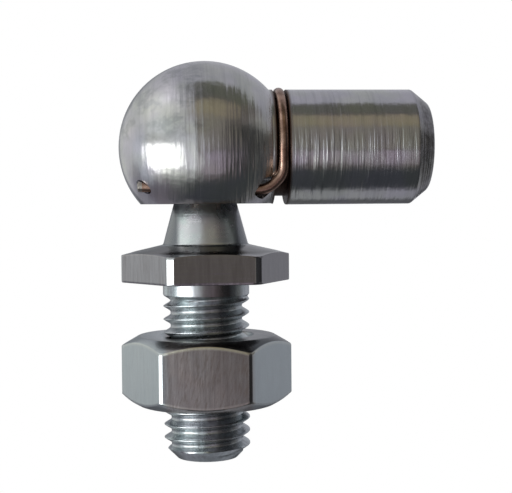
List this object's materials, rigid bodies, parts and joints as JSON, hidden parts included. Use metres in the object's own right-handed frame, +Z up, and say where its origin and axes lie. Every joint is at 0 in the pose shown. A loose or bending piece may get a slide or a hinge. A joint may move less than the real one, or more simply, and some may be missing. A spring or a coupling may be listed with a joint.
{
  "type": "angle ball joint",
  "caption": "Angle ball joint with a round socket head on a threaded shank, a wire retaining clip, and a hexagon-collared ball stud with its nut.",
  "frame": {"origin": "centre of the rod hole's mouth, on the end face of the shank; the ball's centre is 25.5 mm behind it, at x = -0.0255", "axes": "+X along the shank, out of the rod hole; +Z up, away from the stud, which hangs along -Z"},
  "size_m": [0.0352, 0.0194, 0.0451],
  "materials": {
    "turned_zinc_steel": "zinc-plated steel with fine turning lines about the shank",
    "spring_steel": "bare spring steel, lightly oiled",
    "bronze_wire": "drawn wire with a dull bronze colour",
    "stud_zinc_steel": "bright zinc-plated steel",
    "nut_zinc_steel": "zinc-plated steel with fine drawing lines on the flats"
  },
  "bodies": {
    "housing": {"ball_socket": "turned_zinc_steel", "retaining_clip": "bronze_wire"},
    "ring": {"snap_ring": "spring_steel"},
    "stud": {"ball_stud": "stud_zinc_steel"},
    "nut": {"hex_nut": "nut_zinc_steel"}
  },
  "joints": [
    {"name": "stud_swivel", "type": "hinge", "parent": "housing", "child": "ring", "pos_m": [-0.0255, 0, 0], "axis": [0, 0, 1], "continuous": true},
    {"name": "stud_tilt", "type": "hinge", "parent": "ring", "child": "stud", "pos_m": [-0.0255, 0, 0], "axis": [0, 1, 0], "range_deg": [-11, 11]},
    {"name": "nut_travel", "type": "slide", "parent": "stud", "child": "nut", "axis": [0, 0, -1], "range_m": [-0.0046, 0.0061]}
  ]
}
